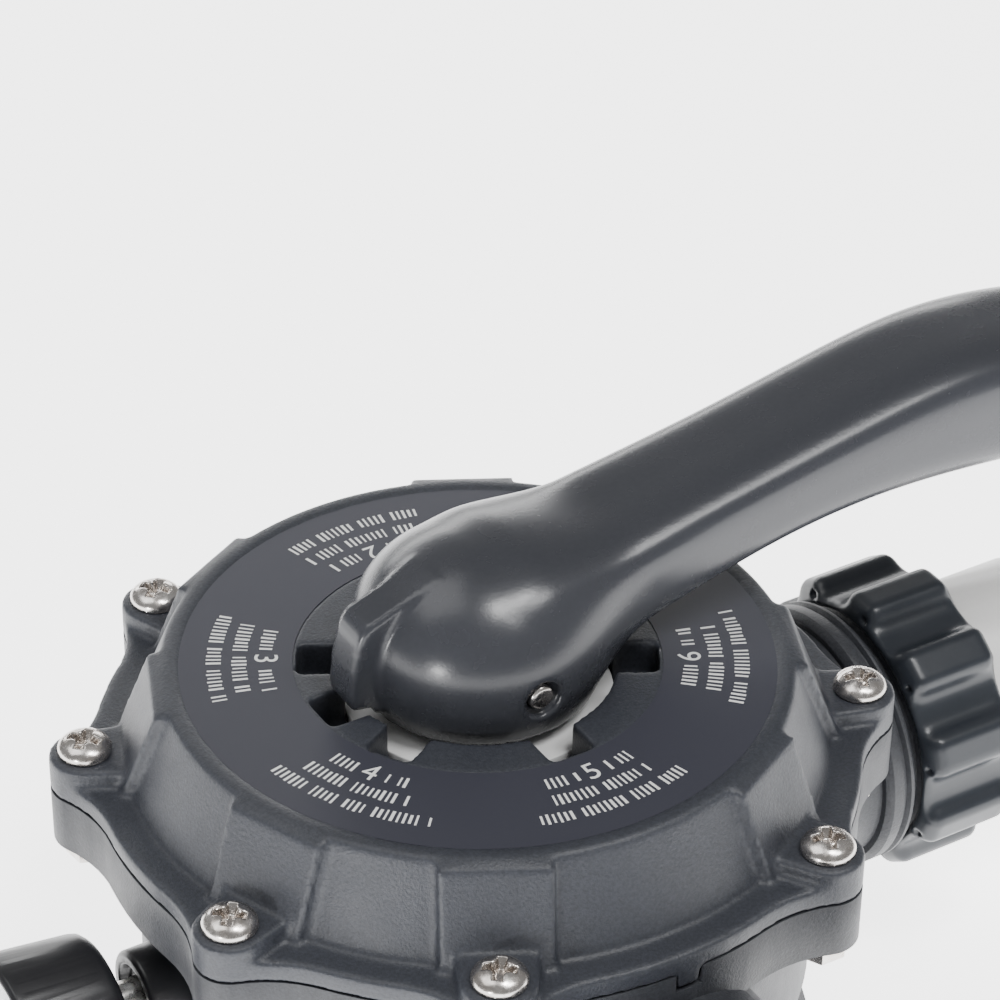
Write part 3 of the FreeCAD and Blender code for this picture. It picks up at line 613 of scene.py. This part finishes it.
def numeral(text, height):
    """Flat mesh of a plain numeral, centred, with its top towards +Y."""
    curve = bpy.data.curves.new("numeral", "FONT")
    curve.body = text
    curve.size = height * 1.37 * MM
    curve.align_x = "CENTER"
    curve.align_y = "CENTER"
    holder = bpy.data.objects.new("numeral", curve)
    mesh = bpy.data.meshes.new_from_object(holder)
    bpy.data.objects.remove(holder)
    return mesh


def add_tick(work, radius, az, width, height, z):
    """Flat upright mark at radius and az; width and height in millimetres, z in metres."""
    corners = []
    for dr, da in ((-height, -width), (height, -width), (height, width), (-height, width)):
        r = (radius + dr / 2) * MM
        angle = math.radians(az) + da / 2 / radius
        corners.append(work.verts.new((r * math.cos(angle), r * math.sin(angle), z)))
    work.faces.new(corners)


def make_dial_print():
    """Six groups of plain marks, one for each position of the lever, each with its numeral."""
    work = bmesh.new()
    z = LABEL_Z + 0.04 * MM
    rng = np.random.default_rng(7)
    for index, group in enumerate(GROUP_AZ):
        for row, radius in enumerate(ROW_R):
            half = (12.0, 14.5, 16.5)[row] + rng.uniform(-1.5, 1.5)
            gap = NUMERAL_H * 0.62 / radius * 180 / math.pi if row == 0 else 0.0
            step = 1.32 / radius * 180 / math.pi
            az = -half
            word = rng.integers(4, 9)
            while az < half:
                if word == 0:
                    word = rng.integers(4, 9)
                    az += step * 1.1
                if abs(az) > gap:
                    height = MARK_H * rng.choice([1.0, 1.0, 0.86])
                    add_tick(work, radius, group + az, rng.uniform(0.42, 0.72), height, z)
                word -= 1
                az += step
        shape = numeral(str(index + 1), NUMERAL_H)
        turn = math.radians(group)
        radius = ROW_R[0] * MM
        shape.transform(Matrix.Translation((radius * math.cos(turn), radius * math.sin(turn), z))
                        @ Matrix.Rotation(turn + math.pi / 2, 4, "Z"))
        work.from_mesh(shape)
    mesh = bpy.data.meshes.new("dial_print")
    work.to_mesh(mesh)
    work.free()
    place_piece("dial_print", mesh, BODY_OF["dial_label"], None, "print_white")


def make_gauge_print():
    """Scale of the pressure gauge: marks over 270 degrees and five numerals."""
    low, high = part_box("gauge_dial")
    centre = Vector((low[0] - 0.03 * MM, (low[1] + high[1]) / 2, (low[2] + high[2]) / 2))
    work = bmesh.new()
    for k in range(41):
        radius, width, height = MAJOR_TICK if k % 10 == 0 else MINOR_TICK
        add_tick(work, radius, 225 - 270 * k / 40, width, height, 0)
    for k in range(5):
        angle = math.radians(225 - 67.5 * k)
        shape = numeral(str(k), 3.4)
        shape.transform(Matrix.Translation((11.4 * MM * math.cos(angle), 11.4 * MM * math.sin(angle), 0)))
        work.from_mesh(shape)
    mesh = bpy.data.meshes.new("gauge_print")
    work.to_mesh(mesh)
    work.free()
    facing = Matrix(((0, 0, -1), (-1, 0, 0), (0, 1, 0))).to_4x4()
    mesh.transform(Matrix.Translation(centre) @ facing)
    place_piece("gauge_print", mesh, BODY_OF["gauge_dial"], None, "print_black")


# ---------------------------------------------------------------- softened copies of the CAD pieces
def copy_mesh(node):
    source = frame["nodes"][node]
    mesh = source.data.copy()
    mesh.transform(source.matrix_world)
    return mesh


def make_spring():
    """Copy of the spring in place of the CAD piece, with a mesh of its own."""
    spring = place_piece("spring_coil", copy_mesh("spring"), BODY_OF["spring"], "spring", SLOTS["spring"])
    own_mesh(spring)


def soften(node, width):
    """Copy of a CAD piece with bevelled edges, in place of the original. MELTED ones are remeshed instead."""
    mesh = copy_mesh(node)
    work = bmesh.new()
    work.from_mesh(mesh)
    bmesh.ops.remove_doubles(work, verts=work.verts, dist=2e-6)
    bmesh.ops.dissolve_limit(work, angle_limit=math.radians(1.0), verts=work.verts, edges=work.edges)
    work.to_mesh(mesh)
    work.free()
    mesh.shade_smooth()
    mesh.name = node + "_softened"
    piece = place_piece(node + "_moulding", mesh, BODY_OF[node], node, SLOTS[node])
    if node in MELTED:
        remesh = piece.modifiers.new("skin", "REMESH")
        remesh.mode = "VOXEL"
        remesh.voxel_size = MELTED[node] * MM
        remesh.use_smooth_shade = True
        smooth = piece.modifiers.new("melt", "SMOOTH")
        smooth.iterations = 6
        return piece
    bevel = piece.modifiers.new("edges", "BEVEL")
    bevel.width = width * MM
    bevel.segments = 2
    bevel.limit_method = "ANGLE"
    bevel.angle_limit = math.radians(30)
    bevel.harden_normals = True
    bevel.miter_outer = "MITER_ARC"
    return piece


# width of the bevel and, for a melted piece, of a voxel, in millimetres
SOFTENED = {
    "cover": 0.7, "valve_body": 0.6, "waste_cap": 0.5, "gauge_adapter": 0.35, "gauge_case": 0.5,
    "handle_washer": 0.3, "inlet_tail": 0.4, "outlet_tail": 0.4, "cover_nuts": 0.25,
}

MELTED = {"cover": 0.8}

# ---------------------------------------------------------------- the whole valve
make_camera()
make_light()
make_floor()
SLOTS = paint_nodes()
BODY_OF = {node: body for body, nodes in frame["record"]["behaviour"]["bodies"].items() for node in nodes}
make_handle()
make_nuts()
make_screws()
make_dial_print()
make_gauge_print()
make_spring()
for node, width in SOFTENED.items():
    soften(node, width)
